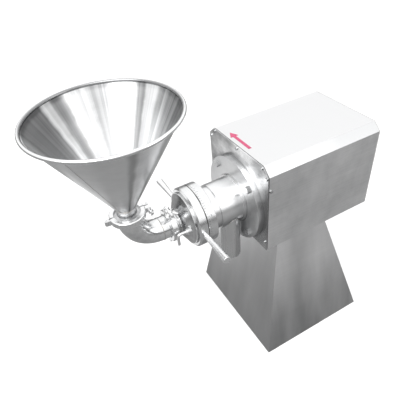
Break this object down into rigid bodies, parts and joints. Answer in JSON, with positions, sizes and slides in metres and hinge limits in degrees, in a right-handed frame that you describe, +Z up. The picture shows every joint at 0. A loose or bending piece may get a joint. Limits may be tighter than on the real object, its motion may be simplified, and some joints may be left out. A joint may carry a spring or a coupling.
{
  "type": "colloid mill",
  "caption": "Colloid mill with a conical hopper, clamped inlet elbow, adjusting rings with handles, outlet pipe and enclosed motor on a tapered pedestal.",
  "frame": {"origin": "on the floor at the centre of the pedestal's anchor holes", "axes": "+X along the shaft from the inlet to the motor, +Y across, +Z up"},
  "size_m": [0.8756, 0.412, 0.8865],
  "materials": {
    "brushed_sheet": "brushed",
    "polished_plate": "polished",
    "bolt_steel": "satin",
    "black_rubber": "matte",
    "red_marking": "matte",
    "motor_paint": "satin paint",
    "lamination": "rough",
    "winding": "varnished copper",
    "bearing_steel": "polished",
    "shaft_steel": "turned",
    "black_plastic": "matte",
    "satin_stainless": "satin turned",
    "seal_ceramic": "glazed ceramic",
    "seal_carbon": "lapped carbon",
    "hard_steel": "ground",
    "bronze": "turned",
    "polished_steel": "polished",
    "polished_stainless": "polished",
    "white_gasket": "matte",
    "hopper_sheet": "brushed inside and out",
    "clamp_steel": "cast, tumbled"
  },
  "bodies": {
    "machine": {"pedestal_shell": "brushed_sheet", "foot_frame": "brushed_sheet", "bed_plate": "brushed_sheet", "bed_bolts": "bolt_steel", "cable_grommet": "black_rubber", "motor_cover": "brushed_sheet", "front_plate": "polished_plate", "rear_panel": "brushed_sheet", "end_plate_screws": "bolt_steel", "cover_screws": "bolt_steel", "rotation_arrow": "red_marking", "motor_frame": "motor_paint", "motor_flange_shield": "motor_paint", "motor_rear_shield": "motor_paint", "motor_foot_bolts": "bolt_steel", "stator_core": "lamination", "stator_windings": "winding", "bearing_outer_rings": "bearing_steel", "fan_cover": "motor_paint", "terminal_box": "motor_paint", "terminal_box_lid": "motor_paint", "cable_gland": "black_plastic", "mill_body": "satin_stainless", "outlet_pipe": "satin_stainless", "flange_bolts": "bolt_steel", "flange_nuts": "bolt_steel", "seal_seat": "seal_ceramic", "body_o_ring": "black_rubber", "guide_pins": "shaft_steel", "scale_ring": "satin_stainless", "scale_ring_screws": "bolt_steel"},
    "rotor": {"drive_shaft": "shaft_steel", "rotor_core": "lamination", "bearing_inner_rings": "bearing_steel", "motor_fan": "black_plastic", "seal_face": "seal_carbon", "seal_bellows": "black_rubber", "grinding_rotor": "hard_steel", "rotor_key": "shaft_steel", "rotor_nut": "shaft_steel"},
    "carriage": {"front_cover": "polished_stainless", "grinding_stator": "hard_steel", "ferrule_gaskets": "white_gasket", "inlet_elbow": "polished_stainless", "hopper": "hopper_sheet", "hopper_rim": "polished_stainless", "hopper_neck": "polished_stainless", "clamp_pins": "shaft_steel", "inlet_clamp_fixed_half": "clamp_steel", "inlet_clamp_swing_half": "clamp_steel", "hopper_clamp_fixed_half": "clamp_steel", "hopper_clamp_swing_half": "clamp_steel"},
    "adjusting_ring": {"adjusting_ring": "satin_stainless", "adjusting_nut": "bronze", "adjusting_handles": "polished_steel"},
    "locking_lever": {"locking_lever": "polished_steel"},
    "inlet_eyebolt": {"inlet_clamp_eyebolt": "polished_steel"},
    "inlet_wing_nut": {"inlet_clamp_wing_nut": "polished_steel"},
    "hopper_eyebolt": {"hopper_clamp_eyebolt": "polished_steel"},
    "hopper_wing_nut": {"hopper_clamp_wing_nut": "polished_steel"}
  },
  "joints": [
    {"name": "rotor_spin", "type": "hinge", "parent": "machine", "child": "rotor", "pos_m": [-0.2, 0, 0.518], "axis": [1, 0, 0], "continuous": true},
    {"name": "gap_slide", "type": "slide", "parent": "machine", "child": "carriage", "axis": [1, 0, 0], "range_m": [-0.0005, 0.0005]},
    {"name": "adjusting_ring_turn", "type": "hinge", "parent": "carriage", "child": "adjusting_ring", "pos_m": [-0.318, 0, 0.518], "axis": [1, 0, 0], "range_deg": [-90, 90]},
    {"name": "locking_lever_turn", "type": "hinge", "parent": "carriage", "child": "locking_lever", "pos_m": [-0.353, -0.054, 0.522], "axis": [-1, 0, 0], "range_deg": [0, 90]},
    {"name": "inlet_eyebolt_swing", "type": "hinge", "parent": "carriage", "child": "inlet_eyebolt", "pos_m": [-0.379, 0.007, 0.572], "axis": [-1, 0, 0], "range_deg": [0, 60]},
    {"name": "inlet_wing_nut_spin", "type": "hinge", "parent": "inlet_eyebolt", "child": "inlet_wing_nut", "pos_m": [-0.379, -0.02, 0.572], "axis": [0, -1, 0], "range_deg": [0, 720]},
    {"name": "hopper_eyebolt_swing", "type": "hinge", "parent": "carriage", "child": "hopper_eyebolt", "pos_m": [-0.4296, 0.007, 0.6067], "axis": [0, 0, 1], "range_deg": [0, 45]},
    {"name": "hopper_wing_nut_spin", "type": "hinge", "parent": "hopper_eyebolt", "child": "hopper_wing_nut", "pos_m": [-0.4296, -0.02, 0.6067], "axis": [0, -1, 0], "range_deg": [0, 720]}
  ],
  "couplings": [
    {"joint": "gap_slide", "follows": "adjusting_ring_turn", "m_per_rad": 0.000318}
  ]
}
